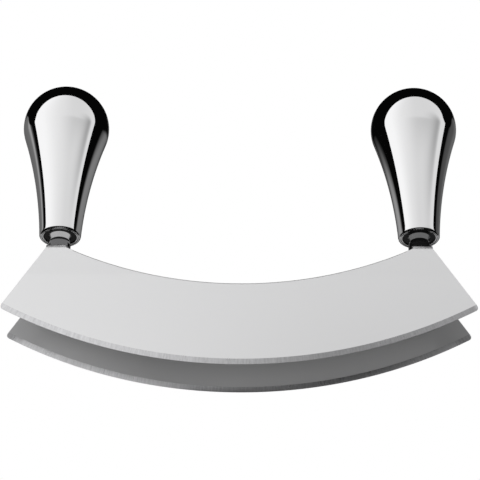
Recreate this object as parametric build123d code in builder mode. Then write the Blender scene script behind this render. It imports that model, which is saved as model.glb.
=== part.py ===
from build123d import *
import os
from math import asin, cos, degrees, radians, sin, sqrt

# A double-bladed mezzaluna: two crescent blades side by side, joined at each end
# by an upright hollow knob handle that a screw draws down onto the blades' tabs.
# Millimetres. X runs along the blades, the front blade is at -Y and +Z is up.
# The origin lies on the surface the cutting edges rock on, midway between the blades.

# Blades
blade_length = 216.0  # across the sharp tips, before they are rounded
cutting_edge_radius = 222.0
middle_height = 40.7  # of the crescent in its middle
top_edge_radius = 179.0
sheet_thickness = 1.3
blade_gap = 27.2  # clear space between the two blades
bevel_width = 2.4  # ground on both faces
edge_land = 0.12  # what the grinding leaves at the very edge
tip_round = 1.5
edge_easing = 0.3  # broken edges of the hollow top side

# Tabs at the blades' ends
tab_width = 9.1
tab_top_height = 62.3  # upper side of the front blade's tabs
bend_outer_radius = 4.5
shoulder_height = 59.0  # where the slanting end turns into the tab's outer side
tab_root_round = 1.6

# Knob handles
tip_overhang = 23.95  # of the sharp tips past the handle axes
handle_length = 81.7
handle_base_diameter = 19.4
ball_diameter = 41.2
flank_lean = 17.4  # degrees from upright, where the hollowed flank runs into the ball
handle_wall = 1.2
rim_round = 0.9
rim_inner_round = 0.2

# Base caps
cap_thickness = 1.6
cap_clearance = 0.05  # radial, inside the mouth of the handle
cap_setback = 0.15  # of the lip behind the handle's rim
recess_depth = 0.8  # of the cap's floor behind the handle's rim
lip_width = 0.75
lip_bevel = 0.25

# Ferrules, which carry the thread
collar_diameter = 10.8  # against the cap, where the flare is widest
collar_waist_diameter = 9.2  # at its lower end
collar_height = 2.9
collar_band = 0.4  # straight part above the flare
collar_edge_round = 0.2
spigot_diameter = 8.0
spigot_clearance = 0.05  # radial, in the cap's hole
weld_flange_diameter = 12.0
weld_flange_thickness = 1.2
sleeve_height = 7.4  # of the threaded sleeve above the weld flange
thread_clearance = 0.05  # radial, between the screw and the thread's plain bore
sleeve_roof = 1.5

# Neck posts
post_height = 8.6
post_diameter = 10.3
post_foot_diameter = 11.6
post_foot_height = 3.1
post_flare_radius = 2.6
post_shoulder_chamfer = 0.25
post_neck_diameter = 8.5  # turned down under the collar, as a dark groove
post_neck_height = 1.2

# Screws and washers
screw_diameter = 5.0
screw_hole_clearance = 0.3  # radial, in the tabs and the neck post
screw_head_diameter = 8.5
screw_head_height = 3.5
screw_head_chamfer = 0.4
screw_socket_width = 3.0  # across flats
screw_socket_depth = 2.0
thread_run_out = 1.5  # of the ferrule's bore left beyond the screw's tip
screw_tip_chamfer = 0.5
clamp_washer_diameter = 9.0
clamp_washer_thickness = 1.0
lock_washer_diameter = 8.4
lock_washer_thickness = 1.2
lock_washer_split = 0.7
lock_washer_split_angle = 20.0
washer_clearance = 0.15  # radial, round the screw

# How far every cut reaches past what it cuts
overrun = 5.0

# Heights of the seats, from the tabs up and down
front_tab_top = tab_top_height
rear_tab_top = front_tab_top - sheet_thickness
tab_underside = rear_tab_top - sheet_thickness
post_top = front_tab_top + post_height
cap_floor = post_top + collar_height
handle_base = cap_floor - recess_depth
cap_top = cap_floor + cap_thickness
weld_flange_top = cap_top + weld_flange_thickness
sleeve_top = weld_flange_top + sleeve_height
clamp_washer_bottom = tab_underside - clamp_washer_thickness
screw_head_top = clamp_washer_bottom - lock_washer_thickness

# Radii and half widths
handle_offset = blade_length / 2 - tip_overhang
tab_outer_side = handle_offset + tab_width / 2
tab_inner_side = handle_offset - tab_width / 2
base_radius = handle_base_diameter / 2
ball_radius = ball_diameter / 2
ball_centre = handle_base + handle_length - ball_radius
screw_radius = screw_diameter / 2
screw_hole_radius = screw_radius + screw_hole_clearance
washer_hole_radius = screw_radius + washer_clearance


def save(piece, name):
    piece.label = name
    export_step(piece, f"parts/{name}.step")


def upright(x):
    """The vertical plane that faces the front, with its origin on the ground below x."""
    return Plane(origin=(x, 0, 0), x_dir=(1, 0, 0), z_dir=(0, -1, 0))


def turned(x):
    """The axis that a round piece of the handle at x is turned about."""
    return Axis((x, 0, 0), (0, 0, 1))


def build_blade(side, tab_top):
    """A crescent blade. side is -1 for the front one and 1 for the rear one."""
    inner_face = side * blade_gap / 2
    outer_face = inner_face + side * sheet_thickness
    sheet_middle = (inner_face + outer_face) / 2
    tab_reach = -side * (tab_width / 2 + overrun)

    tip_x = blade_length / 2
    tip_z = cutting_edge_radius - sqrt(cutting_edge_radius**2 - tip_x**2)
    tip_angle = degrees(asin(tip_x / cutting_edge_radius))
    top_centre = middle_height + top_edge_radius
    root_z = top_centre - sqrt(top_edge_radius**2 - tab_inner_side**2)
    root_angle = degrees(asin(tab_inner_side / top_edge_radius))
    clear_z = tab_top + overrun

    with BuildPart() as blade:
        # The bent sheet, seen from its end
        with BuildSketch(Plane.YZ):
            with BuildLine():
                skin = FilletPolyline(
                    (outer_face, -overrun),
                    (outer_face, tab_top),
                    (tab_reach, tab_top),
                    radius=bend_outer_radius,
                )
                core = FilletPolyline(
                    (inner_face, -overrun),
                    (inner_face, tab_top - sheet_thickness),
                    (tab_reach, tab_top - sheet_thickness),
                    radius=bend_outer_radius - sheet_thickness,
                )
                Line(skin @ 0, core @ 0)
                Line(skin @ 1, core @ 1)
            make_face()
        extrude(amount=blade_length, both=True)

        # The crescent with its two tabs, seen from the front
        with BuildSketch(Plane.XZ) as crescent:
            with BuildLine():
                CenterArc((0, cutting_edge_radius), cutting_edge_radius, -90 - tip_angle, 2 * tip_angle)
                CenterArc((0, top_centre), top_edge_radius, -90 - root_angle, 2 * root_angle)
                end = Polyline(
                    (tip_x, tip_z),
                    (tab_outer_side, shoulder_height),
                    (tab_outer_side, clear_z),
                    (tab_inner_side, clear_z),
                    (tab_inner_side, root_z),
                )
                mirror(end, about=Plane.YZ)
            make_face()
            for half in (-1, 1):
                tip = crescent.vertices().sort_by_distance((half * tip_x, tip_z))[0]
                fillet(tip, tip_round)
                root = crescent.vertices().sort_by_distance((half * tab_inner_side, root_z))[0]
                fillet(root, tab_root_round)
        extrude(amount=blade_gap, both=True, mode=Mode.INTERSECT)

        # The tabs' rounded ends and their screw holes, seen from above
        with BuildSketch(Plane.XY):
            with Locations((0, side * blade_gap / 2)):
                Rectangle(2 * blade_length, blade_gap)
            with Locations((-handle_offset, 0), (handle_offset, 0)):
                Circle(tab_width / 2)
                Circle(screw_hole_radius, mode=Mode.SUBTRACT)
        extrude(amount=clear_z, mode=Mode.INTERSECT)

        # The cutting edge, ground on both faces along the rocking curve
        lean = (sheet_thickness - edge_land) / 2 / bevel_width
        grind_dip = edge_land / 2 / lean
        grind_rise = bevel_width + overrun
        for away in (-1, 1):
            grind_reach = sheet_middle + away * (edge_land / 2 + lean * grind_rise)
            with BuildSketch(Plane.YZ):
                with BuildLine():
                    Polyline(
                        (sheet_middle, -grind_dip),
                        (grind_reach, grind_rise),
                        (grind_reach, -grind_dip),
                        close=True,
                    )
                make_face()
            revolve(axis=Axis((0, 0, cutting_edge_radius), (0, 1, 0)), mode=Mode.SUBTRACT)

        # The hollow top edge, eased on both faces for the fingers
        hollow = blade.edges().sort_by_distance((0, sheet_middle, middle_height))[:2]
        chamfer(hollow, edge_easing)
    return blade.part


def knob_line(skin):
    """The knob's side line, skin deep inside its outer face, from the base plane to the crown."""
    ball = ball_radius - skin
    lean = radians(flank_lean)
    meeting = (ball * cos(lean), ball_centre - ball * sin(lean))
    flank = TangentArc(meeting, (base_radius - skin, handle_base), tangent=(-sin(lean), -cos(lean)))
    CenterArc((0, ball_centre), ball, -flank_lean, 90 + flank_lean)
    return flank @ 1


def build_handle_shell(x):
    """The hollow polished knob, open at its base: a ball that runs out into a hollowed flank."""
    crown = ball_centre + ball_radius
    with BuildPart() as shell:
        with BuildSketch(upright(x)) as half_section:
            with BuildLine():
                outer_base = knob_line(0)
                inner_base = knob_line(handle_wall)
                Line(outer_base, inner_base)
                Line((0, crown), (0, crown - handle_wall))
            make_face()
            outer_rim = half_section.vertices().sort_by_distance(outer_base)[0]
            fillet(outer_rim, rim_round)
            inner_rim = half_section.vertices().sort_by_distance(inner_base)[0]
            fillet(inner_rim, rim_inner_round)
        revolve(axis=turned(x))
    return shell.part


def build_base_cap(x):
    """The recessed disc with a raised lip that closes the knob's mouth."""
    cap_radius = base_radius - handle_wall - cap_clearance
    lip_inside = cap_radius - lip_width
    lip_bottom = handle_base + cap_setback
    hole_radius = spigot_diameter / 2 + spigot_clearance
    with BuildPart() as cap:
        with BuildSketch(upright(x)) as half_section:
            with BuildLine():
                Polyline(
                    (hole_radius, cap_floor),
                    (lip_inside, cap_floor),
                    (lip_inside, lip_bottom),
                    (cap_radius, lip_bottom),
                    (cap_radius, cap_top),
                    (hole_radius, cap_top),
                    close=True,
                )
            make_face()
            for lip_edge in (lip_inside, cap_radius):
                corner = half_section.vertices().sort_by_distance((lip_edge, lip_bottom))[0]
                chamfer(corner, lip_bevel)
        revolve(axis=turned(x))
    return cap.part


def build_ferrule(x):
    """The collar under the knob, whose sleeve inside the knob takes the screw."""
    spigot_radius = spigot_diameter / 2
    collar_radius = collar_diameter / 2
    waist_radius = collar_waist_diameter / 2
    with BuildPart() as ferrule:
        with BuildSketch(upright(x)) as half_section:
            with BuildLine():
                underside = Line((0, post_top), (waist_radius, post_top))
                flare = TangentArc(underside @ 1, (collar_radius, cap_floor - collar_band), tangent=(0, 1))
                Polyline(
                    flare @ 1,
                    (collar_radius, cap_floor),
                    (spigot_radius, cap_floor),
                    (spigot_radius, cap_top),
                    (weld_flange_diameter / 2, cap_top),
                    (weld_flange_diameter / 2, weld_flange_top),
                    (spigot_radius, weld_flange_top),
                    (spigot_radius, sleeve_top),
                    (0, sleeve_top),
                    (0, post_top),
                )
            make_face()
            corner = half_section.vertices().sort_by_distance((waist_radius, post_top))[0]
            fillet(corner, collar_edge_round)
        revolve(axis=turned(x))
        with BuildSketch(Plane.XY.offset(post_top)):
            with Locations((x, 0)):
                Circle(screw_radius + thread_clearance)
        extrude(amount=sleeve_top - sleeve_roof - post_top, mode=Mode.SUBTRACT)
    return ferrule.part


def build_neck_post(x):
    """The neck between the tabs and the collar, flared to its foot and stepped in at its top."""
    post_radius = post_diameter / 2
    neck_radius = post_neck_diameter / 2
    foot_radius = post_foot_diameter / 2
    shoulder = post_top - post_neck_height
    foot_top = front_tab_top + post_foot_height
    flare = foot_radius - post_radius
    flare_rise = sqrt(post_flare_radius**2 - (post_flare_radius - flare) ** 2)
    with BuildPart() as post:
        with BuildSketch(upright(x)) as half_section:
            with BuildLine():
                foot = Polyline(
                    (screw_hole_radius, front_tab_top),
                    (foot_radius, front_tab_top),
                    (foot_radius, foot_top),
                )
                flare_arc = RadiusArc(foot @ 1, (post_radius, foot_top + flare_rise), -post_flare_radius)
                Polyline(
                    flare_arc @ 1,
                    (post_radius, shoulder),
                    (neck_radius, shoulder),
                    (neck_radius, post_top),
                    (screw_hole_radius, post_top),
                    (screw_hole_radius, front_tab_top),
                )
            make_face()
            corner = half_section.vertices().sort_by_distance((post_radius, shoulder))[0]
            chamfer(corner, post_shoulder_chamfer)
        revolve(axis=turned(x))
    return post.part


def build_clamp_washer(x):
    """The flat washer under the two tabs."""
    with BuildPart() as washer:
        with BuildSketch(Plane.XY.offset(clamp_washer_bottom)):
            with Locations((x, 0)):
                Circle(clamp_washer_diameter / 2)
                Circle(washer_hole_radius, mode=Mode.SUBTRACT)
        extrude(amount=clamp_washer_thickness)
    return washer.part


def build_lock_washer(x):
    """The split spring washer, drawn flat by the screw."""
    reach = lock_washer_diameter / 2
    with BuildPart() as washer:
        with BuildSketch(Plane.XY.offset(screw_head_top)):
            with Locations((x, 0)):
                Circle(reach)
                Circle(washer_hole_radius, mode=Mode.SUBTRACT)
        extrude(amount=lock_washer_thickness)
        split_plane = Plane(
            origin=(x, 0, screw_head_top + lock_washer_thickness / 2),
            x_dir=(1, 0, 0),
            z_dir=(0, 0, 1),
        )
        with BuildSketch(split_plane.rotated((90 - lock_washer_split_angle, 0, 0))):
            with Locations((reach / 2, 0)):
                Rectangle(reach, 2 * lock_washer_thickness)
        extrude(amount=lock_washer_split / 2, both=True, mode=Mode.SUBTRACT)
    return washer.part


def build_tie_screw(x):
    """The socket-head screw that ties both blades and the neck to the knob."""
    head_bottom = screw_head_top - screw_head_height
    head_radius = screw_head_diameter / 2
    screw_end = sleeve_top - sleeve_roof - thread_run_out
    with BuildPart() as screw:
        with BuildSketch(upright(x)) as half_section:
            with BuildLine():
                Polyline(
                    (0, head_bottom),
                    (head_radius, head_bottom),
                    (head_radius, screw_head_top),
                    (screw_radius, screw_head_top),
                    (screw_radius, screw_end),
                    (0, screw_end),
                    close=True,
                )
            make_face()
            head_corner = half_section.vertices().sort_by_distance((head_radius, head_bottom))[0]
            chamfer(head_corner, screw_head_chamfer)
            tip_corner = half_section.vertices().sort_by_distance((screw_radius, screw_end))[0]
            chamfer(tip_corner, screw_tip_chamfer)
        revolve(axis=turned(x))
        with BuildSketch(Plane.XY.offset(head_bottom)):
            with Locations((x, 0)):
                RegularPolygon(screw_socket_width / 2, 6, major_radius=False)
        extrude(amount=screw_socket_depth, mode=Mode.SUBTRACT)
    return screw.part


os.makedirs("parts", exist_ok=True)

save(build_blade(-1, front_tab_top), "front_blade")
save(build_blade(1, rear_tab_top), "rear_blade")
for side_name, axis_x in (("left", -handle_offset), ("right", handle_offset)):
    save(build_handle_shell(axis_x), f"{side_name}_handle_shell")
    save(build_base_cap(axis_x), f"{side_name}_base_cap")
    save(build_ferrule(axis_x), f"{side_name}_ferrule")
    save(build_neck_post(axis_x), f"{side_name}_neck_post")
    save(build_clamp_washer(axis_x), f"{side_name}_clamp_washer")
    save(build_lock_washer(axis_x), f"{side_name}_lock_washer")
    save(build_tie_screw(axis_x), f"{side_name}_tie_screw")
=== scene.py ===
from math import asin, atan2, cos, pi, radians, sin, sqrt, tan
import bmesh
import bpy
from mathutils import Matrix, Vector


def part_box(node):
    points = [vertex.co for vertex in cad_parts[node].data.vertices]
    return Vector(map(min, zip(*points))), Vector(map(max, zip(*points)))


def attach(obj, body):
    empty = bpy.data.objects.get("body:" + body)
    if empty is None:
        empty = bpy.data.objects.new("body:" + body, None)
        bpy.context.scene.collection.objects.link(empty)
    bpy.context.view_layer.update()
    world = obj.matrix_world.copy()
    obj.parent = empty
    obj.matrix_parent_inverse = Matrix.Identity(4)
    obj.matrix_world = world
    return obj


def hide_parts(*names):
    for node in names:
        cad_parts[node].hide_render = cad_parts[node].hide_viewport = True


# A steel mezzaluna: two crescent blades side by side under two polished knobs.
# Sizes in the dictionaries are millimetres, the scene itself is in metres.
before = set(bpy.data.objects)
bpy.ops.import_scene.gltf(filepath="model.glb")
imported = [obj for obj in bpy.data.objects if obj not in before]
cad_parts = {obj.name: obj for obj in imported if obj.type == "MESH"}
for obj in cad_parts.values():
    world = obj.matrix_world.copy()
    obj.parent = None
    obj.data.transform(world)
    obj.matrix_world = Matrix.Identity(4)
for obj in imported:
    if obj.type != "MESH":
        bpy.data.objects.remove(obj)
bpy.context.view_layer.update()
mm = 0.001
tiny = 1e-6
knobLow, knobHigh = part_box("right_handle_shell")
handleX = (knobLow.x + knobHigh.x) / 2 / mm  # from the middle of the blades to each knob's axis
sides = {"left": -handleX, "right": handleX}
print("frame loaded:", len(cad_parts), "nodes")


# Materials. Steel is always metal, only its colour, roughness and tool marks change.
def addNode(tree, kind, inputs=None, **settings):
    node = tree.nodes.new(kind)
    for key, value in settings.items():
        setattr(node, key, value)
    for key, value in (inputs or {}).items():
        if isinstance(value, bpy.types.NodeSocket):
            tree.links.new(value, node.inputs[key])
        else:
            node.inputs[key].default_value = value
    return node


def maths(tree, operation, first, second):
    return addNode(tree, "ShaderNodeMath", {0: first, 1: second}, operation=operation).outputs[0]


def objectPlace(tree):
    return addNode(tree, "ShaderNodeTexCoord").outputs["Object"]


def newMaterial(name):
    material = bpy.data.materials.new(name)
    material.use_nodes = True
    material.node_tree.nodes.clear()
    return material, material.node_tree


markNoise = {"detail": 3.0, "roughness": 0.6, "cloudDetail": 2.0, "low": 0.6, "high": 1.4}


def steel(name, look, marks):
    # marks is one of the functions below and gives the vector that the tool marks are drawn in
    noise = markNoise
    material, tree = newMaterial(name)
    fine = addNode(tree, "ShaderNodeTexNoise", {
        "Vector": marks(tree, look), "Scale": 1.0,
        "Detail": noise["detail"], "Roughness": noise["roughness"]})
    cloud = addNode(tree, "ShaderNodeTexNoise", {
        "Vector": objectPlace(tree), "Scale": look["cloudScale"], "Detail": noise["cloudDetail"]})
    dark = [c * (1 - look["toneSpread"]) for c in look["colour"]] + [1]
    pale = [min(1, c * (1 + look["toneSpread"])) for c in look["colour"]] + [1]
    tone = addNode(tree, "ShaderNodeMix", {0: fine.outputs["Fac"], 6: dark, 7: pale}, data_type="RGBA")
    both = maths(tree, "ADD", fine.outputs["Fac"], cloud.outputs["Fac"])
    low, high = look["roughness"]
    rough = addNode(tree, "ShaderNodeMapRange", {
        0: both, 1: noise["low"], 2: noise["high"], 3: low, 4: high})
    bump = addNode(tree, "ShaderNodeBump", {
        "Strength": look["markStrength"], "Distance": look["markDepth"] * mm, "Height": fine.outputs["Fac"]})
    shader = addNode(tree, "ShaderNodeBsdfPrincipled", {
        "Base Color": tone.outputs[2], "Metallic": 1.0,
        "Roughness": rough.outputs[0], "Normal": bump.outputs[0]})
    addNode(tree, "ShaderNodeOutputMaterial", {"Surface": shader.outputs[0]})
    return material


def straightMarks(tree, look):
    # fine lines, which markScale stretches along a blade or round a turned piece
    return addNode(tree, "ShaderNodeMapping", {
        "Vector": objectPlace(tree), "Scale": look["markScale"]}).outputs[0]


def grindMarks(tree, look):
    # short lines square to the cutting edge, laid out along its arc
    x, y, z = addNode(tree, "ShaderNodeSeparateXYZ", {0: objectPlace(tree)}).outputs
    drop = maths(tree, "SUBTRACT", blades["edgeRadius"] * mm, z)
    angle = maths(tree, "ARCTAN2", x, drop)
    across = addNode(tree, "ShaderNodeCombineXYZ", {0: x, 1: drop})
    reach = addNode(tree, "ShaderNodeVectorMath", {0: across.outputs[0]}, operation="LENGTH")
    laid = addNode(tree, "ShaderNodeCombineXYZ", {0: angle, 1: reach.outputs["Value"], 2: y})
    return addNode(tree, "ShaderNodeMapping", {
        "Vector": laid.outputs[0], "Scale": look["markScale"]}).outputs[0]


blades = {
    "length": 216.0, "edgeRadius": 222.0, "middleHeight": 40.7, "topRadius": 179.0,
    "sheet": 1.3, "gap": 27.2, "grind": 2.4, "land": 0.12, "tipRound": 1.5,
    "tabWidth": 9.1, "tabTops": {-1: 62.3, 1: 61.0}, "bendRadius": 4.5,
    "shoulder": 59.0, "rootRound": 1.6, "holeRadius": 2.8,
    "hollowEasing": 0.55, "edgeEasing": 0.12, "sharpFrom": 7,
    "edgeColumns": 220, "hollowSteps": 160, "tipSteps": 8, "bendStrips": 20, "tabSteps": 24, "holeSteps": 32,
    "searchStep": 0.005, "digits": 5, "easingSegments": 3,
}

bladeSatin = {
    "colour": (0.77, 0.77, 0.775), "toneSpread": 0.008, "roughness": (0.34, 0.38),
    "markScale": (250, 6000, 12000), "markStrength": 0.05, "markDepth": 0.004, "cloudScale": 25,
}
edgeGrind = {
    "colour": (0.62, 0.62, 0.63), "toneSpread": 0.30, "roughness": (0.26, 0.36),
    "markScale": (330, 220, 300), "markStrength": 0.35, "markDepth": 0.03, "cloudScale": 120,
}
mirrorPolish = {
    "colour": (0.78, 0.78, 0.785), "toneSpread": 0.006, "roughness": (0.015, 0.045),
    "markScale": (300, 300, 300), "markStrength": 0.0, "markDepth": 0.001, "cloudScale": 45,
}
collarTurning = {
    "colour": (0.72, 0.72, 0.725), "toneSpread": 0.05, "roughness": (0.12, 0.18),
    "markScale": (30, 30, 7000), "markStrength": 0.1, "markDepth": 0.006, "cloudScale": 200,
}
# near black: painted shade on the cap's recess floor and in the post's groove under the collar
recessShadeLook = {
    "colour": (0.035, 0.035, 0.036), "toneSpread": 0.05, "roughness": (0.24, 0.34),
    "markScale": (900, 900, 900), "markStrength": 0.1, "markDepth": 0.01, "cloudScale": 200,
}
# dark steel for the neck post: painted shade under the knob
neckShadeLook = {
    "colour": (0.24, 0.24, 0.245), "toneSpread": 0.02, "roughness": (0.07, 0.12),
    "markScale": (30, 30, 5000), "markStrength": 0.05, "markDepth": 0.004, "cloudScale": 200,
}
screwSteel = {
    "colour": (0.56, 0.56, 0.57), "toneSpread": 0.06, "roughness": (0.24, 0.36),
    "markScale": (1500, 1500, 1500), "markStrength": 0.2, "markDepth": 0.01, "cloudScale": 300,
}

satinSteel = steel("bladeSatinSteel", bladeSatin, straightMarks)
groundSteel = steel("groundEdgeSteel", edgeGrind, grindMarks)
polishedSteel = steel("mirrorPolishedSteel", mirrorPolish, straightMarks)
collarSteel = steel("turnedCollarSteel", collarTurning, straightMarks)
recessShadeSteel = steel("recessShadeCapSteel", recessShadeLook, straightMarks)
shadedNeckSteel = steel("paintedShadeNeckSteel", neckShadeLook, straightMarks)
fastenerSteel = steel("screwSteel", screwSteel, straightMarks)
print("materials made")


# Meshes
def newPiece(name, bm, looks, nodes, sharp=30):
    bmesh.ops.recalc_face_normals(bm, faces=bm.faces)
    mesh = bpy.data.meshes.new(name)
    bm.to_mesh(mesh)
    bm.free()
    for look in looks:
        mesh.materials.append(look)
    mesh.shade_smooth()
    mesh.set_sharp_from_angle(angle=radians(sharp))
    piece = bpy.data.objects.new(name, mesh)
    bpy.context.scene.collection.objects.link(piece)
    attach(piece, "root")
    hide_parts(*nodes)
    return piece


def roundedLine(points, steps=6):
    # each point is (r, z) or (r, z, rounding); a rounding turns the corner into an arc
    line = []
    last = len(points) - 1
    for i, point in enumerate(points):
        corner = Vector(point[:2])
        rounding = point[2] if len(point) > 2 else 0
        if not rounding or i in (0, last):
            line.append(tuple(corner))
            continue
        back = (Vector(points[i - 1][:2]) - corner).normalized()
        ahead = (Vector(points[i + 1][:2]) - corner).normalized()
        half = back.angle(ahead) / 2
        centre = corner + (back + ahead).normalized() * rounding / sin(half)
        start = corner + back * rounding / tan(half) - centre
        turn = Vector(start).angle_signed(corner + ahead * rounding / tan(half) - centre)
        for k in range(steps + 1):
            line.append(tuple(centre + Matrix.Rotation(-turn * k / steps, 2) @ start))
    return line


def lathe(line, x, turns, closed, bm=None, firstMaterial=0, wave=None):
    # spins a line of (r, z) about the upright axis at x; closed joins its last point to its first
    bm = bm or bmesh.new()
    rings = []
    for r, z in line:
        if abs(r) < tiny:
            rings.append([bm.verts.new((x * mm, 0, z * mm))])
            continue
        ring = []
        for k in range(turns):
            a = 2 * pi * k / turns
            reach = r - (wave(r, z, a) if wave else 0)
            ring.append(bm.verts.new(((x + reach * cos(a)) * mm, reach * sin(a) * mm, z * mm)))
        rings.append(ring)
    pairs = list(zip(rings, rings[1:]))
    if closed:
        pairs.append((rings[-1], rings[0]))
    for low, high in pairs:
        for k in range(turns):
            n = (k + 1) % turns
            if len(low) == 1:
                face = bm.faces.new((low[0], high[k], high[n]))
            elif len(high) == 1:
                face = bm.faces.new((low[k], low[n], high[0]))
            else:
                face = bm.faces.new((low[k], low[n], high[n], high[k]))
            face.material_index = firstMaterial
    return bm


# The blades are laid out flat as (x, s), where s runs up the sheet and round its bend,
# then given their thickness and bent over into the tabs.
def sheetPlace(side, x, s, t):
    # t is the distance from the sheet's middle, outwards
    b = blades
    outer = side * (b["gap"] / 2 + b["sheet"])
    top = b["tabTops"][side]
    bendStart = top - b["bendRadius"]
    middleRadius = b["bendRadius"] - b["sheet"] / 2
    centreY = outer - side * b["bendRadius"]
    turn = min(max(s - bendStart, 0) / middleRadius, pi / 2)
    beyond = max(s - bendStart - middleRadius * pi / 2, 0)
    reach = middleRadius + t
    y = centreY + side * (reach * cos(turn) - beyond)
    z = min(s, bendStart) + reach * sin(turn)
    return Vector((x * mm, y * mm, z * mm))


def buildBlade(side, name, node):
    b = blades
    bottomR, topR = b["edgeRadius"], b["topRadius"]
    grindR = bottomR - b["grind"]
    topCentre = b["middleHeight"] + topR
    tipX = b["length"] / 2
    tipZ = bottomR - sqrt(bottomR ** 2 - tipX ** 2)
    outside, inside = handleX + b["tabWidth"] / 2, handleX - b["tabWidth"] / 2
    top = b["tabTops"][side]
    bendStart = top - b["bendRadius"]
    middleRadius = b["bendRadius"] - b["sheet"] / 2
    bendEnd = bendStart + middleRadius * pi / 2
    slant = (tipX - outside) / (b["shoulder"] - tipZ)
    half = b["sheet"] / 2

    # where the root rounding of the tab meets the hollow arc and the tab's inner side
    rootX = inside - b["rootRound"]
    rootZ = topCentre - sqrt((topR - b["rootRound"]) ** 2 - rootX ** 2)
    meetZ = topCentre - (topCentre - rootZ) * topR / (topR - b["rootRound"])

    def innerX(z):
        if z >= rootZ:
            return inside
        if z > meetZ:
            return rootX + sqrt(max(b["rootRound"] ** 2 - (z - rootZ) ** 2, 0))
        return sqrt(topR ** 2 - (topCentre - z) ** 2)

    def outerX(z):
        return outside + max(b["shoulder"] - z, 0) * slant

    def depth(x, z):
        # how far a point lies above the cutting edge, along the radius
        return bottomR - sqrt(x * x + (bottomR - z) ** 2)

    def thick(x, z):
        if depth(x, z) >= b["grind"] - tiny:
            return half
        return b["land"] / 2 + (half - b["land"] / 2) * max(depth(x, z), 0) / b["grind"]

    bm = bmesh.new()
    points, flats = [], {}

    def point(x, s, h=half):
        key = (round(x, b["digits"]), round(s, b["digits"]))
        if key not in flats:
            flats[key] = len(points)
            points.append((x, s, h))
        return flats[key]

    faces = []  # (point numbers, material number)

    # ground band between the cutting edge and the grind line
    edgeSlope = Vector((tipX - outside, tipZ - b["shoulder"])).normalized()
    along = Vector((-(bottomR - tipZ), -tipX)).normalized()
    tip = Vector((tipX, tipZ))
    halfTip = along.angle(-edgeSlope) / 2
    tipCut = b["tipRound"] / tan(halfTip)
    tipCentre = tip + (along - edgeSlope).normalized() * b["tipRound"] / sin(halfTip)
    lastAngle = asin((tip + along * tipCut).x / bottomR)
    k, grindEnd = 0, tip
    while depth(grindEnd.x, grindEnd.y) < b["grind"]:
        k += 1
        grindEnd = tip - edgeSlope * k * b["searchStep"]
    lastGrind = asin(grindEnd.x / grindR)
    columns = b["edgeColumns"]
    low, high = [], []
    for k in range(columns + 1):
        a = -lastAngle + 2 * lastAngle * k / columns
        g = -lastGrind + 2 * lastGrind * k / columns
        low.append(point(bottomR * sin(a), bottomR - bottomR * cos(a), b["land"] / 2))
        high.append(point(grindR * sin(g), bottomR - grindR * cos(g)))
    for k in range(columns):
        faces.append(((low[k], low[k + 1], high[k + 1], high[k]), 1))
    # the rounded tips close the band
    for mirrored in (1, -1):
        start = tip + along * tipCut - tipCentre
        end = tip - edgeSlope * tipCut - tipCentre
        turn = start.angle_signed(end)
        arc = []
        for k in range(1, b["tipSteps"] + 1):
            p = tipCentre + Matrix.Rotation(-turn * k / b["tipSteps"], 2) @ start
            arc.append(point(mirrored * p.x, p.y, thick(p.x, p.y)))
        lowEnd, highEnd = (low[-1], high[-1]) if mirrored == 1 else (low[0], high[0])
        faces.append(((lowEnd, *arc, highEnd), 1))

    # the plain side of the blade, one flat face from the grind line up to the bend
    startX = innerX(bendStart)
    hollowAngle = asin(startX / topR)
    hollow = []
    for k in range(b["hollowSteps"] + 1):
        a = hollowAngle - 2 * hollowAngle * k / b["hollowSteps"]
        hollow.append(point(topR * sin(a), topCentre - topR * cos(a)))
    outerFoot = [point(m * outerX(bendStart), bendStart) for m in (1, -1)]
    faces.append(((*high, outerFoot[0], *hollow, outerFoot[1]), 0))

    # the bend, in narrow strips, and the flat tab with its rounded end and hole
    strips = b["bendStrips"]
    for m in (1, -1):
        rows = []
        for k in range(strips + 1):
            s = bendStart + (bendEnd - bendStart) * k / strips
            z = bendStart + b["bendRadius"] * sin((s - bendStart) / middleRadius)
            if k == 0:
                rows.append((hollow[0] if m == 1 else hollow[-1], outerFoot[0] if m == 1 else outerFoot[1]))
            else:
                rows.append((point(m * innerX(z), s), point(m * outerX(z), s)))
        middle = point(m * handleX, bendEnd)
        for k in range(strips):
            (a, c), (d, e) = rows[k], rows[k + 1]
            faces.append(((a, c, e, d) if k < strips - 1 else (a, c, e, middle, d), 0))
        axisS = bendEnd + (b["gap"] / 2 + b["sheet"] - b["bendRadius"])
        for half2 in (1, -1):
            edge = rows[-1][1] if half2 == 1 else rows[-1][0]
            loop = [middle, edge]
            arcs = [(b["tabWidth"] / 2, pi / 2 * k / b["tabSteps"]) for k in range(b["tabSteps"] + 1)]
            arcs += [(b["holeRadius"], pi / 2 - pi * k / b["holeSteps"]) for k in range(b["holeSteps"] + 1)]
            for r, a in arcs:
                loop.append(point(m * (handleX + half2 * r * cos(a)), axisS + r * sin(a)))
            faces.append((tuple(loop), 0))

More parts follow.
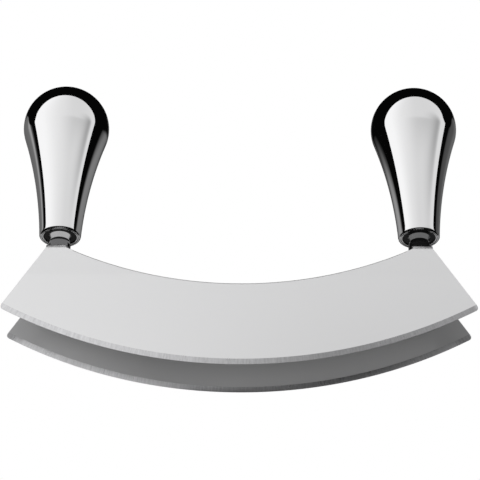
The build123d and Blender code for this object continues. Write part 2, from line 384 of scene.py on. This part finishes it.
    # both skins, then a wall along every open border
    skins = [[bm.verts.new(sheetPlace(side, x, s, t * h)) for x, s, h in points] for t in (1, -1)]
    border = {}
    for loop, look in faces:
        for skin in skins:
            bm.faces.new([skin[i] for i in loop]).material_index = look
        for i, j in zip(loop, loop[1:] + loop[:1]):
            pair = frozenset((i, j))
            border[pair] = None if pair in border else (i, j, look)
    weight = bm.edges.layers.float.new("bevel_weight_edge")
    bm.edges.ensure_lookup_table()
    hollowPoints = set(hollow)
    for wall in border.values():
        if wall is None:
            continue
        i, j, look = wall
        face = bm.faces.new((skins[0][i], skins[0][j], skins[1][j], skins[1][i]))
        face.material_index = look
        for skin in skins:
            edge = bm.edges.get((skin[i], skin[j]))
            if {i, j} <= hollowPoints:
                edge[weight] = 1.0
            elif look == 0:
                edge[weight] = b["edgeEasing"] / b["hollowEasing"]
    piece = newPiece(name, bm, (satinSteel, groundSteel), (node,), sharp=b["sharpFrom"])
    bevel = piece.modifiers.new("easing", "BEVEL")
    bevel.limit_method = "WEIGHT"
    bevel.width = b["hollowEasing"] * mm
    bevel.segments = b["easingSegments"]
    bevel.use_clamp_overlap = True
    normals = piece.modifiers.new("flatSides", "WEIGHTED_NORMAL")
    normals.keep_sharp = True
    return piece


buildBlade(-1, "frontBlade", "front_blade")
buildBlade(1, "rearBlade", "rear_blade")
print("blades built")

knob = {
    "base": 73.0, "length": 81.7, "baseRadius": 9.7, "ballRadius": 20.6, "lean": 17.4,
    "wall": 1.2, "rimRound": 0.9, "rimInnerRound": 0.2, "footSkip": 0.03,
    "flankSteps": 40, "ballSteps": 72, "rimSteps": 10, "turns": 192,
}


def knobLine(skin):
    # from just above the base up the hollowed flank and round the ball to the crown
    k = knob
    lean = radians(k["lean"])
    ball = k["ballRadius"] - skin
    ballZ = k["base"] + k["length"] - k["ballRadius"]
    meet = Vector((ball * cos(lean), ballZ - ball * sin(lean)))
    foot = Vector((k["baseRadius"] - skin, k["base"]))
    outward = Vector((cos(lean), -sin(lean)))
    chord = meet - foot
    flankRadius = -chord.length_squared / (2 * chord.dot(outward))
    centre = meet + outward * flankRadius
    first = atan2(foot.y - centre.y, foot.x - centre.x) % (2 * pi)
    last = atan2(meet.y - centre.y, meet.x - centre.x) % (2 * pi)
    line = []
    for i in range(1, k["flankSteps"]):
        a = first + (last - first) * (k["footSkip"] + (1 - k["footSkip"]) * i / k["flankSteps"])
        line.append((centre.x + flankRadius * cos(a), centre.y + flankRadius * sin(a)))
    for i in range(k["ballSteps"] + 1):
        a = -lean + (pi / 2 + lean) * i / k["ballSteps"]
        line.append((ball * cos(a), ballZ + ball * sin(a)))
    line[-1] = (0.0, ballZ + ball)
    return line


for side, x in sides.items():
    k = knob
    outer, inner = knobLine(0), knobLine(k["wall"])
    rim = roundedLine([
        inner[0], (k["baseRadius"] - k["wall"], k["base"], k["rimInnerRound"]),
        (k["baseRadius"], k["base"], k["rimRound"]), outer[0]], steps=k["rimSteps"])
    bm = lathe(inner[::-1] + rim[1:-1] + outer, x, k["turns"], False)
    newPiece(side + "Knob", bm, (polishedSteel,), (side + "_handle_shell",))
print("knobs turned")

cap = {
    "radius": 8.45, "lipInside": 7.7, "lipBottom": 73.15, "floor": 73.8, "top": 75.4,
    "hole": 4.05, "lipRound": 0.25, "cornerRound": 0.12, "lookMargin": 0.01, "turns": 128,
}
ferrule = {
    "bottom": 70.9, "seat": 73.8, "waist": 4.6, "collar": 5.4, "band": 0.4, "edgeRound": 0.2,
    "spigot": 4.0, "flange": 6.0, "flangeBottom": 75.4, "flangeTop": 76.6,
    "sleeveTop": 84.0, "boreTop": 82.5, "bore": 2.55, "flareFrom": 2, "flareSteps": 18, "turns": 128,
    "boreRound": 0.2, "bandRound": 0.05, "flangeRound": 0.2, "sleeveRound": 0.3,
}
post = {
    "bottom": 62.3, "top": 70.9, "radius": 5.15, "foot": 5.8, "footTop": 65.4, "flareRadius": 2.6,
    "neck": 4.25, "neckHeight": 1.2, "neckMargin": 0.2, "chamfer": 0.25, "bore": 2.8, "startRise": 1,
    "footRound": 0.12, "footTopRound": 0.1, "chamferRound": 0.08, "neckRound": 0.1,
    "flareSteps": 16, "turns": 128,
}
for side, x in sides.items():
    c = cap
    line = roundedLine([
        (c["hole"], c["floor"]), (c["lipInside"], c["floor"], c["cornerRound"]),
        (c["lipInside"], c["lipBottom"], c["lipRound"]), (c["radius"], c["lipBottom"], c["lipRound"]),
        (c["radius"], c["top"]), (c["hole"], c["top"])], steps=5)
    bm = lathe(line, x, c["turns"], True)
    # faces inside the lip take the near-black look, painted shade on the recess floor; the lip ring stays
    # polished
    for face in bm.faces:
        far = max((v.co - Vector((x * mm, 0, v.co.z))).length for v in face.verts)
        face.material_index = 1 if far > (c["lipInside"] + c["lookMargin"]) * mm else 0
    newPiece(side + "Cap", bm, (recessShadeSteel, polishedSteel), (side + "_base_cap",))

    # the collar flares out to the cap along an arc that starts upright
    f = ferrule
    rise = f["seat"] - f["band"] - f["bottom"]
    swell = f["collar"] - f["waist"]
    flareRadius = (rise ** 2 + swell ** 2) / 2 / swell
    flare = []
    for i in range(f["flareFrom"], f["flareSteps"] + 1):
        z = rise * i / f["flareSteps"]
        flare.append((f["waist"] + flareRadius - sqrt(flareRadius ** 2 - z ** 2), f["bottom"] + z))
    line = roundedLine([
        (0, f["boreTop"]), (f["bore"], f["boreTop"]), (f["bore"], f["bottom"], f["boreRound"]),
        (f["waist"], f["bottom"], f["edgeRound"]), *flare[:-1], (*flare[-1], f["bandRound"]),
        (f["collar"], f["seat"]), (f["spigot"], f["seat"]), (f["spigot"], f["flangeBottom"]),
        (f["flange"], f["flangeBottom"], f["flangeRound"]), (f["flange"], f["flangeTop"], f["flangeRound"]),
        (f["spigot"], f["flangeTop"]), (f["spigot"], f["sleeveTop"], f["sleeveRound"]),
        (0, f["sleeveTop"])], steps=4)
    bm = lathe(line, x, f["turns"], False)
    newPiece(side + "Ferrule", bm, (collarSteel,), (side + "_ferrule",))

    # the post swells to its foot; the post's dark steel and the near-black groove under the collar are
    # painted shade
    p = post
    swell = p["foot"] - p["radius"]
    bend = p["flareRadius"]
    rise = sqrt(bend ** 2 - (bend - swell) ** 2)
    shoulder = p["top"] - p["neckHeight"]
    waist = []
    for i in range(1, p["flareSteps"] + 1):
        z = rise * i / p["flareSteps"]
        waist.append((p["radius"] + bend - sqrt(bend ** 2 - (rise - z) ** 2), p["footTop"] + z))
    line = roundedLine([
        (p["bore"], p["bottom"] + p["startRise"]), (p["bore"], p["bottom"]),
        (p["foot"], p["bottom"], p["footRound"]), (p["foot"], p["footTop"], p["footTopRound"]),
        *waist, (p["radius"], shoulder - p["chamfer"], p["chamferRound"]),
        (p["radius"] - p["chamfer"], shoulder, p["chamferRound"]), (p["neck"], shoulder, p["neckRound"]),
        (p["neck"], p["top"]), (p["bore"], p["top"])], steps=4)
    bm = lathe(line, x, p["turns"], True)
    for face in bm.faces:
        middle = face.calc_center_median() / mm
        reach = Vector((middle.x - x, middle.y)).length
        if reach < p["neck"] + p["neckMargin"] and middle.z > shoulder:
            face.material_index = 1
    newPiece(side + "NeckPost", bm, (shadedNeckSteel, recessShadeSteel), (side + "_neck_post",))
print("necks and caps turned")

screws = {
    "flatBottom": 58.7, "flatTop": 59.7, "flatRadius": 4.5, "hole": 2.65,
    "lockBottom": 57.5, "lockTop": 58.7, "lockRadius": 4.2, "split": 0.7, "splitLean": 20,
    "headBottom": 54.0, "headTop": 57.5, "headRadius": 4.25, "shank": 2.5, "end": 81.0,
    "socketWidth": 3.0, "socketDepth": 2.0, "headEasing": 0.4, "endEasing": 0.5,
    "knurls": 36, "knurlDepth": 0.07, "knurlLow": 0.5, "knurlHigh": 0.3,
    "seamHeight": 0.3, "seam": 0.01, "turns": 96, "headTurns": 144,
    "flatHoleRound": 0.08, "flatRound": 0.2, "lockHoleRound": 0.1, "lockRound": 0.15,
    "headRound": 0.15, "headTopRound": 0.1,
}
for side, x in sides.items():
    w = screws
    middleZ = (w["flatBottom"] + w["flatTop"]) / 2
    line = roundedLine([
        (w["hole"], middleZ), (w["hole"], w["flatBottom"], w["flatHoleRound"]),
        (w["flatRadius"], w["flatBottom"], w["flatRound"]), (w["flatRadius"], w["flatTop"], w["flatRound"]),
        (w["hole"], w["flatTop"], w["flatHoleRound"]), (w["hole"], middleZ + w["seam"])], steps=4)
    bm = lathe(line, x, w["turns"], True)
    newPiece(side + "ClampWasher", bm, (fastenerSteel,), (side + "_clamp_washer",))

    # the spring washer is a ring with a slanted split at +X
    bm = bmesh.new()
    lean = tan(radians(w["splitLean"])) * (w["lockTop"] - w["lockBottom"]) / 2
    seamZ = w["lockBottom"] + w["seamHeight"]
    section = roundedLine([
        (w["hole"], seamZ), (w["hole"], w["lockBottom"], w["lockHoleRound"]),
        (w["lockRadius"], w["lockBottom"], w["lockRound"]), (w["lockRadius"], w["lockTop"], w["lockRound"]),
        (w["hole"], w["lockTop"], w["lockHoleRound"]), (w["hole"], seamZ + w["seam"])], steps=3)
    middleZ = (w["lockTop"] + w["lockBottom"]) / 2
    rings = []
    for i in range(w["turns"] + 1):
        ring = []
        for r, z in section:
            shift = lean * (z - middleZ) / (w["lockTop"] - middleZ)
            start, end = (w["split"] / 2 + shift) / r, 2 * pi - (w["split"] / 2 - shift) / r
            a = start + (end - start) * i / w["turns"]
            ring.append(bm.verts.new(((x + r * cos(a)) * mm, r * sin(a) * mm, z * mm)))
        rings.append(ring)
    count = len(section)
    for ring, after in zip(rings, rings[1:]):
        for i in range(count):
            n = (i + 1) % count
            bm.faces.new((ring[i], ring[n], after[n], after[i]))
    bm.faces.new(rings[0])
    bm.faces.new(rings[-1])
    newPiece(side + "LockWasher", bm, (fastenerSteel,), (side + "_lock_washer",))

    # the screw: a knurled head with a hexagon socket, and its shank up into the ferrule
    def knurl(r, z, a):
        if r < w["headRadius"] - w["seam"]:
            return 0
        if not w["headBottom"] + w["knurlLow"] < z < w["headTop"] - w["knurlHigh"]:
            return 0
        return w["knurlDepth"] * (1 - cos(w["knurls"] * a)) / 2

    ease, cut = w["headEasing"], w["endEasing"]
    line = roundedLine([
        (w["headRadius"] - ease, w["headBottom"]),
        (w["headRadius"], w["headBottom"] + ease, w["headRound"]),
        (w["headRadius"], w["headBottom"] + w["knurlLow"] + 2 * w["seam"]),
        (w["headRadius"], w["headTop"] - w["knurlHigh"] - 2 * w["seam"]),
        (w["headRadius"], w["headTop"], w["headTopRound"]), (w["shank"], w["headTop"]),
        (w["shank"], w["end"] - cut), (w["shank"] - cut, w["end"]), (0, w["end"])], steps=3)
    turns = w["headTurns"]
    bm = lathe(line, x, turns, False, wave=knurl)
    bm.verts.ensure_lookup_table()
    rimRing = bm.verts[:turns]
    corners = []
    for depth in (0, w["socketDepth"]):
        ring = []
        for i in range(6):
            a = pi / 3 * i
            r = w["socketWidth"] / 2 / cos(pi / 6)
            corner = Vector((x + r * cos(a), r * sin(a), w["headBottom"] + depth))
            ring.append(bm.verts.new(corner * mm))
        corners.append(ring)
    step = turns // 6
    for i in range(6):
        n = (i + 1) % 6
        arc = [rimRing[(i * step + j) % turns] for j in range(step + 1)]
        bm.faces.new((*arc, corners[0][n], corners[0][i]))
        bm.faces.new((corners[0][i], corners[0][n], corners[1][n], corners[1][i]))
    bm.faces.new(corners[1])
    newPiece(side + "TieScrew", bm, (fastenerSteel,), (side + "_tie_screw",))
print("screws and washers made")


# Studio: a room of cards that only the steel sees, but for the wide white panel in front, which
# lights the floor too and is brighter on the left. The ceiling and the far sides are black, and a
# curved grey wall stands behind. Small cards close to the tool do a flag's work and show only one
# face. Brightness is given in stops (place, brightness): places in metres, and in degrees on the
# curved wall, round from straight behind, and on the posts' sleeves, round from straight in front.
# The heights of the wall's top and of the sleeves' foot go by the same degrees.
studio = {
    "front": -0.5, "back": 2.3, "side": 6.0, "top": 1.5, "tableLift": -0.0002, "nearTable": 0.2,
    "panel": [(-6.0, 1.17), (-1.0, 1.18), (-0.75, 1.16), (-0.5, 1.10), (-0.35, 1.04), (-0.2, 0.97),
              (-0.1, 0.936), (0.0, 0.89), (0.1, 0.855), (0.35, 0.84), (1.0, 0.86), (1.6, 0.89), (6.0, 0.90)],
    "panelFoot": [(-6.0, 1.2), (-1.0, 1.15), (-0.5, 1.06), (-0.2, 0.96), (-0.05, 0.78), (0.05, 0.64),
                  (0.15, 0.51), (0.3, 0.40), (1.0, 0.42), (3.0, 0.5), (6.0, 0.55)],
    "footBlend": (0.03, 0.2), "spot": (1.0, 0.16), "spotReach": (0.8, 0.4), "spotDepth": 0.5,
    "wallRadius": 1.6, "wallBottom": 0.4, "wallBlend": (0.42, 0.62), "wallFoot": 0.02,
    "wallTop": [(-79, 0.56), (-76, 0.74), (-68, 0.86), (-60, 1.0), (-48, 1.14), (-36, 1.28), (-20, 1.42),
                (20, 1.42), (36, 1.28), (48, 1.14), (60, 1.0), (68, 0.86), (78, 0.74), (82, 0.56)],
    "wall": [(-79, 0.32), (-66, 0.36), (-60, 0.27), (-54, 0.22), (-42, 0.15), (-30, 0.14), (-14, 0.07),
             (14, 0.07), (24, 0.15), (36, 0.14), (54, 0.14), (66, 0.19), (72, 0.18), (82, 0.13)],
    "wallSteps": 80,
    "black": [(-1.0, 0.002), (1.0, 0.002)], "flagBlack": 0.002,
    "nearFront": [(-0.5, 1.2), (-0.08, 1.1), (-0.03, 0.75), (0.0, 0.5), (0.03, 0.2), (0.06, 0.05),
                  (0.5, 0.02)],
    "farFront": [(-0.5, 1.3), (-0.15, 1.1), (-0.05, 0.70), (0.03, 0.30), (0.1, 0.10), (0.5, 0.04)],
    "backTable": [(0.0, 0.01), (0.3, 0.02), (2.3, 0.05)],
    "shelfHeight": 0.045,
    "shelf": [(-0.5, 0.002), (0.038, 0.002), (0.0395, 0.42), (0.0575, 0.42), (0.059, 0.002), (0.105, 0.002)],
    "sleeveRadius": 0.007, "sleeveSplit": 0.0702, "sleeveTop": 0.0728,
    "sleeveTurn": 116, "sleeveStep": 4, "collarSkip": 6,
    "sleeveFoot": [(-116, 0.0686), (-92, 0.0700), (-88, 0.064), (88, 0.064), (92, 0.0700), (116, 0.0686)],
    "leftPost": [(-116, 0.005), (-72, 0.005), (-66, 0.56), (62, 0.56), (70, 0.005), (116, 0.005)],
    "rightPost": [(-116, 0.005), (-30, 0.03), (30, 0.03), (116, 0.005)],
    "leftCollar": [(0.0702, 0.56), (0.0714, 0.56), (0.0717, 0.22), (0.0720, 0.56), (0.0728, 0.54)],
    "rightCollar": [(0.0702, 0.02), (0.0714, 0.02), (0.0717, 0.18), (0.0728, 0.18)],
    "gapCardY": -0.0125, "gapFoot": 0.010, "gapHead": 0.045, "gapReach": 0.105, "gapSteps": 40,
    "gapUp": [(0.010, 0.32), (0.018, 0.27), (0.026, 0.13), (0.034, 0.04), (0.045, 0.01)],
    "gapAlong": [(-0.105, 1.35), (-0.085, 1.25), (-0.065, 1.10), (-0.04, 0.88), (0.0, 1.0), (0.04, 0.9),
                 (0.105, 0.9)],
    "tipFlagX": (0.093, 0.125), "tipFlagZ": (0.026, 0.066),
    "leftTip": [(-0.125, 0.40), (-0.093, 0.26)], "rightTip": [(0.093, 0.15), (0.125, 0.24)],
    "fill": 0.75,
}
s = studio


# Two flags per knob, one on each side of it. "edge" is the outline nearest the camera as (y, z).
# Under the line "top", given as (y, z) too, the black flag is grey, and "soft" says over what
# height the one turns into the other.
knobFlags = {
    "leftKnobInnerFlag": {
        "x": 0.02, "seenFrom": -1, "back": 0.2, "soft": (0.0, 0.024),
        "edge": [(-0.027, 0.068), (-0.025, 0.12), (-0.024, 0.182), (-0.029, 0.20), (-0.038, 0.225),
                 (-0.050, 0.26), (-0.06, 0.30)],
        "top": [(-0.06, 0.0), (0.0, 0.0), (0.001, 0.118), (0.018, 0.140), (0.038, 0.160), (0.075, 0.182),
                (0.2, 0.245)],
        "grey": [(0.0, 0.15), (0.01, 0.20), (0.03, 0.25), (0.08, 0.24), (0.2, 0.15)]},
    "rightKnobInnerFlag": {
        "x": -0.02, "seenFrom": 1, "back": 0.2, "soft": (0.0, 0.024),
        "edge": [(-0.020, 0.068), (-0.020, 0.13), (-0.026, 0.17), (-0.030, 0.182), (-0.035, 0.20),
                 (-0.042, 0.225), (-0.052, 0.26), (-0.06, 0.30)],
        "top": [(-0.06, 0.0), (0.008, 0.0), (0.009, 0.118), (0.018, 0.130), (0.038, 0.148), (0.075, 0.168),
                (0.2, 0.225)],
        "grey": [(0.0, 0.15), (0.02, 0.30), (0.04, 0.38), (0.08, 0.35), (0.2, 0.12)]},
    "leftKnobOuterFlag": {
        "x": -0.284, "seenFrom": 1, "back": 0.35, "soft": (-0.004, 0.008),
        "edge": [(-0.021, 0.068), (-0.022, 0.150), (-0.027, 0.165), (-0.036, 0.182), (-0.044, 0.20),
                 (-0.055, 0.26), (-0.064, 0.31), (-0.075, 0.36)],
        "top": [(-0.08, 0.0), (0.010, 0.0), (0.015, 0.170), (0.035, 0.184), (0.052, 0.202), (0.068, 0.228),
                (0.09, 0.262), (0.16, 0.315), (0.35, 0.37)],
        "grey": [(0.0, 0.04), (0.03, 0.08), (0.045, 0.38), (0.06, 0.40), (0.09, 0.18), (0.2, 0.15),
                 (0.35, 0.14)]},
    "rightKnobOuterFlag": {
        "x": 0.284, "seenFrom": -1, "back": 0.35, "soft": (-0.004, 0.012),
        "edge": [(-0.021, 0.068), (-0.022, 0.150), (-0.030, 0.168), (-0.044, 0.182), (-0.055, 0.20),
                 (-0.066, 0.26), (-0.078, 0.31), (-0.085, 0.36)],
        "top": [(-0.09, 0.0), (0.022, 0.0), (0.026, 0.172), (0.046, 0.190), (0.06, 0.210), (0.075, 0.232),
                (0.095, 0.265), (0.16, 0.315), (0.35, 0.37)],
        "grey": [(0.0, 0.03), (0.035, 0.06), (0.06, 0.08), (0.12, 0.09), (0.2, 0.15), (0.35, 0.12)]},
}


def rampAlong(tree, value, stops):
    low, high = stops[0][0], stops[-1][0]
    share = addNode(tree, "ShaderNodeMapRange", {0: value, 1: low, 2: high})
    ramp = addNode(tree, "ShaderNodeValToRGB", {0: share.outputs[0]})
    while len(ramp.color_ramp.elements) < len(stops):
        ramp.color_ramp.elements.new(0.5)
    peak = max(grey for at, grey in stops)
    for element, (at, grey) in zip(ramp.color_ramp.elements, stops):
        element.position = (at - low) / (high - low)
        element.color = (grey / peak, grey / peak, grey / peak, 1)
    return maths(tree, "MULTIPLY", ramp.outputs[0], peak)


def blendUp(tree, height, span, low, high):
    # from low to high over a span of heights; both may be numbers or sockets
    rise = addNode(tree, "ShaderNodeMapRange", {
        0: height, 1: span[0], 2: span[1]}, interpolation_type="SMOOTHSTEP")
    return addNode(tree, "ShaderNodeMix", {0: rise.outputs[0], 2: low, 3: high}).outputs[0]


def stopAt(stops, place):
    for (a, low), (b, high) in zip(stops, stops[1:]):
        if place <= b:
            return low + (high - low) * (place - a) / (b - a)
    return stops[-1][1]


def card(name, foot, head, glowOf, lit=False, oneFace=False):
    # foot and head are matching rows of corners; glowOf(tree, place, split) gives the socket that
    # says how bright each spot is; a one-faced card is clear from behind
    material, tree = newMaterial(name)
    place = objectPlace(tree)
    split = addNode(tree, "ShaderNodeSeparateXYZ", {0: place}).outputs
    light = addNode(tree, "ShaderNodeEmission", {"Strength": glowOf(tree, place, split)})
    if oneFace:
        behind = addNode(tree, "ShaderNodeNewGeometry").outputs["Backfacing"]
        clear = addNode(tree, "ShaderNodeBsdfTransparent")
        light = addNode(tree, "ShaderNodeMixShader", {0: behind, 1: light.outputs[0], 2: clear.outputs[0]})
    addNode(tree, "ShaderNodeOutputMaterial", {"Surface": light.outputs[0]})
    mesh = bpy.data.meshes.new(name)
    count = len(foot)
    strips = [(i, i + 1, count + i + 1, count + i) for i in range(count - 1)]
    mesh.from_pydata([Vector(c) for c in (*foot, *head)], [], strips)
    mesh.materials.append(material)
    plane = bpy.data.objects.new(name, mesh)
    bpy.context.scene.collection.objects.link(plane)
    plane.visible_camera = False
    plane.visible_transmission = False
    plane.visible_shadow = False
    plane.visible_diffuse = lit
    return plane


def panelGlow(tree, place, split):
    # the panel with a soft dim spot on its right
    glow = blendUp(tree, split[2], s["footBlend"], rampAlong(tree, split[0], s["panelFoot"]),
                   rampAlong(tree, split[0], s["panel"]))
    wide, high = s["spotReach"]
    x, z = s["spot"]
    scaled = addNode(tree, "ShaderNodeVectorMath", {
        0: place, 1: (1 / wide, 0, 1 / high)}, operation="MULTIPLY")
    gap = addNode(tree, "ShaderNodeVectorMath", {
        0: scaled.outputs[0], 1: (x / wide, 0, z / high)}, operation="DISTANCE")
    dim = blendUp(tree, gap.outputs["Value"], (0.0, 1.0), 1 - s["spotDepth"], 1.0)
    return maths(tree, "MULTIPLY", glow, dim)


def turnOf(tree, split, way):
    # degrees round from straight behind, or from straight in front where way is -1
    turn = maths(tree, "ARCTAN2", split[0], maths(tree, "MULTIPLY", split[1], way))
    return maths(tree, "MULTIPLY", turn, 180 / pi)


def wallGlow(tree, place, split):
    glow = rampAlong(tree, turnOf(tree, split, 1), s["wall"])
    return maths(tree, "MULTIPLY", glow, blendUp(tree, split[2], s["wallBlend"], s["wallFoot"], 1.0))


def along(axis, stops):
    return lambda tree, place, split: rampAlong(tree, split[axis], s[stops])


front, back, wide, top = s["front"], s["back"], s["side"], s["top"]
lift, near = s["tableLift"], s["nearTable"]


def upright(name, a, b, low, high, glowOf, **options):
    # a card that stands on the line from a to b
    card(name, [(*a, low), (*b, low)], [(*a, high), (*b, high)], glowOf, **options)


def flat(name, y0, y1, z, glowOf, **options):
    # a card as wide as the room, lying from y0 to y1
    card(name, [(-wide, y0, z), (wide, y0, z)], [(-wide, y1, z), (wide, y1, z)], glowOf, **options)


upright("frontPanel", (-wide, front), (wide, front), lift, top, panelGlow, lit=True)
upright("leftFlag", (-wide, front), (-wide, back), lift, top, along(0, "black"))
upright("rightFlag", (wide, front), (wide, back), lift, top, along(0, "black"))
flat("ceiling", front, back, top, along(0, "black"))
flat("tableFarFront", front, -near, lift, along(0, "farFront"))
flat("tableNearFront", -near, 0, lift, along(0, "nearFront"))
flat("tableBack", 0, back, lift, along(1, "backTable"))
flat("shelf", front, s["shelf"][-1][0], s["shelfHeight"], along(1, "shelf"), oneFace=True)

firstTurn, lastTurn = s["wall"][0][0], s["wall"][-1][0]
count = s["wallSteps"]
turns = [firstTurn + (lastTurn - firstTurn) * i / count for i in range(count + 1)]
line = [(s["wallRadius"] * sin(radians(a)), s["wallRadius"] * cos(radians(a))) for a in turns]
card("backWall", [(*p, s["wallBottom"]) for p in line],
     [(*p, stopAt(s["wallTop"], a)) for p, a in zip(line, turns)], wallGlow)

for name, flag in knobFlags.items():
    def flagGlow(tree, place, split):
        room = maths(tree, "SUBTRACT", rampAlong(tree, split[1], flag["top"]), split[2])
        return blendUp(tree, room, flag["soft"], s["flagBlack"], rampAlong(tree, split[1], flag["grey"]))

    edge = flag["edge"][::-flag["seenFrom"]]
    far = [(flag["x"], flag["back"], z) for y, z in edge]
    card(name, [(flag["x"], y, z) for y, z in edge], far, flagGlow, oneFace=True)

# A narrow sleeve round each neck, seen from inside alone: the lower part is what the post shows,
# the upper part what the collar shows.
for side, x in sides.items():
    def postGlow(tree, place, split):
        return rampAlong(tree, turnOf(tree, split, -1), s[side + "Post"])

    reach, last, step, skip = s["sleeveRadius"], s["sleeveTurn"], s["sleeveStep"], s["collarSkip"]
    turns = [last - step * i for i in range(2 * last // step + 1)]
    line = [(reach * sin(radians(a)), -reach * cos(radians(a))) for a in turns]
    lower = card(side + "PostSleeve", [(*p, stopAt(s["sleeveFoot"], a)) for p, a in zip(line, turns)],
                 [(*p, s["sleeveSplit"]) for p in line], postGlow, oneFace=True)
    line = line[skip:-skip]
    upper = card(side + "CollarSleeve", [(*p, s["sleeveSplit"]) for p in line],
                 [(*p, s["sleeveTop"]) for p in line], along(2, side + "Collar"), oneFace=True)
    lower.location.x = upper.location.x = x * mm


def gapGlow(tree, place, split):
    # brightest low down, along the arc of the cutting edge
    square = maths(tree, "MULTIPLY", split[0], split[0])
    bow = maths(tree, "MULTIPLY", square, 0.5 / (blades["edgeRadius"] * mm))
    rise = maths(tree, "SUBTRACT", split[2], bow)
    glow = rampAlong(tree, rise, s["gapUp"])
    return maths(tree, "MULTIPLY", glow, rampAlong(tree, split[0], s["gapAlong"]))


reach, count = s["gapReach"], s["gapSteps"]
line = [reach - 2 * reach * i / count for i in range(count + 1)]
bows = [x * x / 2 / (blades["edgeRadius"] * mm) for x in line]
card("gapCard", [(x, s["gapCardY"], s["gapFoot"] + bow) for x, bow in zip(line, bows)],
     [(x, s["gapCardY"], s["gapHead"] + bow) for x, bow in zip(line, bows)], gapGlow, oneFace=True)
inner, outer = s["tipFlagX"]
upright("leftTipFlag", (-inner, 0), (-outer, 0), *s["tipFlagZ"], along(0, "leftTip"), oneFace=True)
upright("rightTipFlag", (outer, 0), (inner, 0), *s["tipFlagZ"], along(0, "rightTip"), oneFace=True)

# The floor is pale paper. It is clear from below, where the camera stands.
paperFloor = {
    "reach": 4, "z": -0.0003, "grain": 60.0,
    "dark": (0.86, 0.86, 0.86, 1), "pale": (0.89, 0.89, 0.885, 1),
}
floorLook, tree = newMaterial("paleFloor")
behind = addNode(tree, "ShaderNodeNewGeometry").outputs["Backfacing"]
grain = addNode(tree, "ShaderNodeTexNoise", {
    "Vector": objectPlace(tree), "Scale": paperFloor["grain"], "Detail": 2.0})
paper = addNode(tree, "ShaderNodeMix", {
    0: grain.outputs["Fac"], 6: paperFloor["dark"], 7: paperFloor["pale"]}, data_type="RGBA")
matt = addNode(tree, "ShaderNodeBsdfDiffuse", {"Color": paper.outputs[2]})
clear = addNode(tree, "ShaderNodeBsdfTransparent")
oneSided = addNode(tree, "ShaderNodeMixShader", {0: behind, 1: matt.outputs[0], 2: clear.outputs[0]})
addNode(tree, "ShaderNodeOutputMaterial", {"Surface": oneSided.outputs[0]})
floorMesh = bpy.data.meshes.new("floor")
reach = paperFloor["reach"]
corners = [(-reach, -reach), (reach, -reach), (reach, reach), (-reach, reach)]
floorMesh.from_pydata([(*corner, paperFloor["z"]) for corner in corners], [], [(0, 1, 2, 3)])
floorMesh.materials.append(floorLook)
floor = bpy.data.objects.new("floor", floorMesh)
bpy.context.scene.collection.objects.link(floor)

world = bpy.data.worlds.new("studioWorld")
bpy.context.scene.world = world
world.use_nodes = True
tree = world.node_tree
tree.nodes.clear()
rays = addNode(tree, "ShaderNodeLightPath").outputs
seen = maths(tree, "MAXIMUM", rays["Is Camera Ray"], rays["Is Glossy Ray"])
seen = maths(tree, "MAXIMUM", seen, rays["Is Transmission Ray"])
fill = s["fill"]
white = addNode(tree, "ShaderNodeMix", {
    0: seen, 6: (fill, fill, fill, 1), 7: (1, 1, 1, 1)}, data_type="RGBA")
sky = addNode(tree, "ShaderNodeBackground", {"Color": white.outputs[2], "Strength": 1.0})
addNode(tree, "ShaderNodeOutputWorld", {"Surface": sky.outputs[0]})
print("studio lit")

# The camera looks up at the tool from in front and below, as the photograph does.
view = {
    "elevation": -30.5, "distance": 0.880, "aimZ": 0.0721, "lens": 141.0, "sensor": 36, "roll": 0.23,
    "shiftX": 0.001, "clip": 0.01,
}
e, roll = radians(view["elevation"]), radians(view["roll"])
ahead = Vector((0, cos(e), -sin(e)))
rightWay, upWay = Vector((1, 0, 0)), Vector((0, sin(e), cos(e)))
turnedRight = rightWay * cos(roll) + upWay * sin(roll)
turnedUp = upWay * cos(roll) - rightWay * sin(roll)
cameraData = bpy.data.cameras.new("camera")
cameraData.lens = view["lens"]
cameraData.sensor_width = view["sensor"]
cameraData.shift_x = view["shiftX"]
cameraData.clip_start = view["clip"]
camera = bpy.data.objects.new("camera", cameraData)
bpy.context.scene.collection.objects.link(camera)
spot = Vector((0, 0, view["aimZ"])) - ahead * view["distance"]
camera.matrix_world = Matrix.Translation(spot) @ Matrix((turnedRight, turnedUp, -ahead)).transposed().to_4x4()
bpy.context.scene.camera = camera
bpy.context.scene.view_settings.view_transform = "Standard"
print("camera set")
